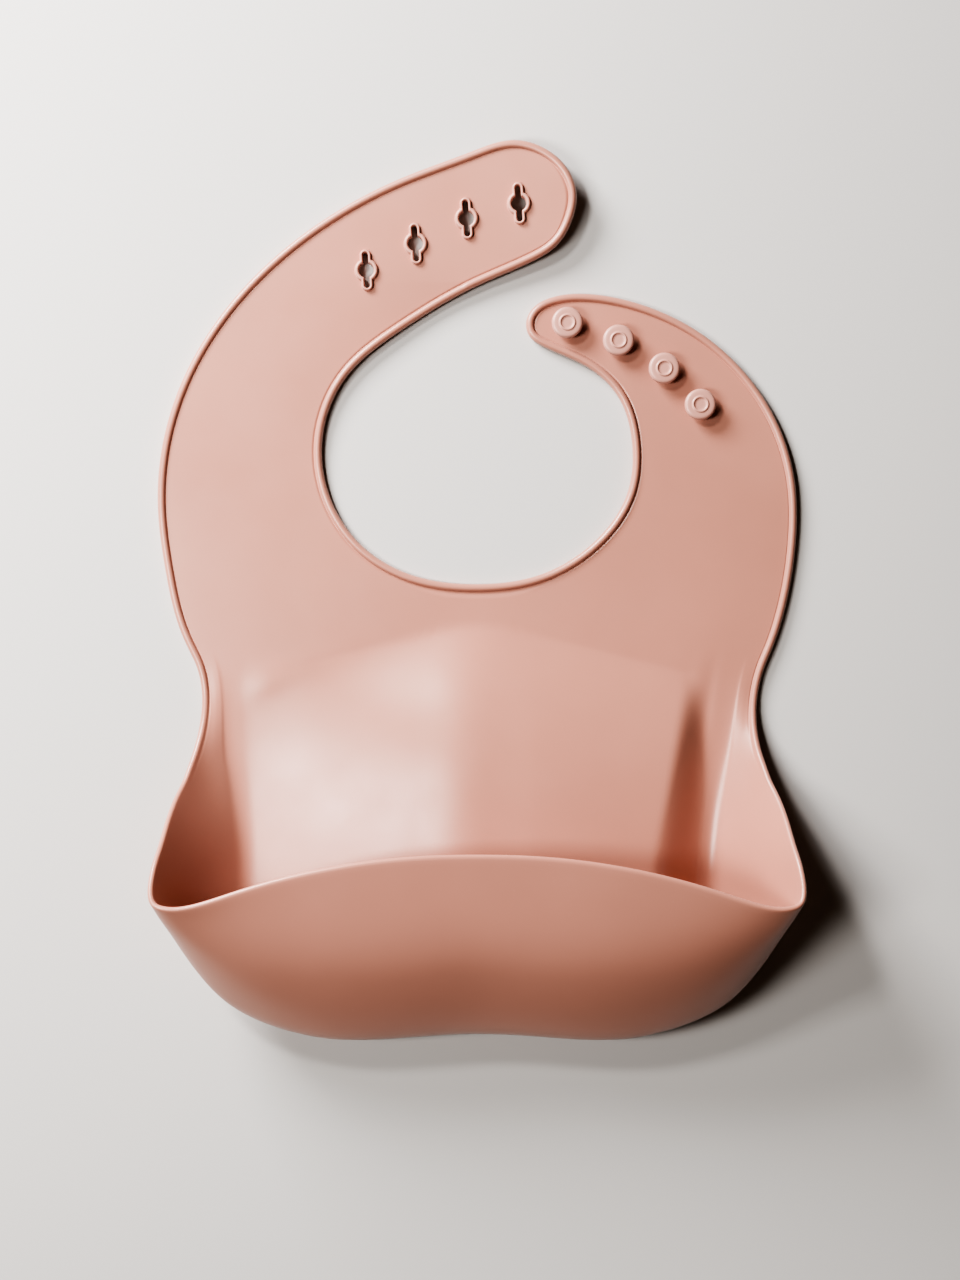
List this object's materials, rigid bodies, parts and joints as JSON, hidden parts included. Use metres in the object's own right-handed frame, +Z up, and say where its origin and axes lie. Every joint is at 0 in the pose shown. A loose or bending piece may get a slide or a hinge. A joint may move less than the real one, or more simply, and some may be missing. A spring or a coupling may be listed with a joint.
{
  "type": "silicone bib",
  "caption": "Moulded silicone bib with two curved neck straps, four button and keyhole fastenings and an open catch pocket along the bottom.",
  "frame": {"origin": "under the middle of the bib's box, on the table that its back lies on", "axes": "+Z up from the table, +Y from the catch pocket towards the straps, +X towards the short strap with the buttons"},
  "size_m": [0.2136, 0.2973, 0.044],
  "materials": {
    "silicone": "satin"
  },
  "bodies": {
    "panel": {"chest_panel": "silicone", "pocket_back": "silicone", "pocket_base": "silicone", "left_gusset": "silicone", "right_gusset": "silicone", "left_pocket_corner": "silicone", "right_pocket_corner": "silicone", "neck_bead": "silicone", "left_side_bead": "silicone", "right_side_bead": "silicone"},
    "pocket_front": {"pocket_front_wall": "silicone"},
    "long_strap_shoulder": {"long_strap_root": "silicone", "long_root_neck_bead": "silicone", "long_root_outer_bead": "silicone"},
    "long_strap_tip": {"long_strap_end": "silicone", "long_end_bead": "silicone", "keyhole_collar_1": "silicone", "keyhole_collar_2": "silicone", "keyhole_collar_3": "silicone", "keyhole_collar_4": "silicone"},
    "short_strap_shoulder": {"short_strap_root": "silicone", "short_root_neck_bead": "silicone", "short_root_outer_bead": "silicone"},
    "short_strap_tip": {"short_strap_end": "silicone", "short_end_bead": "silicone", "button_1": "silicone", "button_2": "silicone", "button_3": "silicone", "button_4": "silicone"}
  },
  "joints": [
    {"name": "long_shoulder_bend", "type": "hinge", "parent": "panel", "child": "long_strap_shoulder", "pos_m": [-0.078, 0.03, 0.0015], "axis": [1, 0, 0], "range_deg": [-80, 80], "stiffness_Nm_per_rad": 0.01},
    {"name": "long_tip_bend", "type": "hinge", "parent": "long_strap_shoulder", "child": "long_strap_tip", "pos_m": [-0.049, 0.097, 0.0015], "axis": [0.5878, -0.809, 0], "range_deg": [-60, 60], "stiffness_Nm_per_rad": 0.01},
    {"name": "short_shoulder_bend", "type": "hinge", "parent": "panel", "child": "short_strap_shoulder", "pos_m": [0.078, 0.03, 0.0015], "axis": [1, 0, 0], "range_deg": [-80, 80], "stiffness_Nm_per_rad": 0.01},
    {"name": "short_tip_bend", "type": "hinge", "parent": "short_strap_shoulder", "child": "short_strap_tip", "pos_m": [0.075, 0.05, 0.0015], "axis": [0.9711, 0.2385, 0], "range_deg": [-60, 60], "stiffness_Nm_per_rad": 0.01},
    {"name": "pocket_front_flex", "type": "hinge", "parent": "panel", "child": "pocket_front", "pos_m": [0, -0.134, 0.008], "axis": [-1, 0, 0], "range_deg": [-20, 20], "stiffness_Nm_per_rad": 0.08, "springref_deg": -2.86}
  ]
}
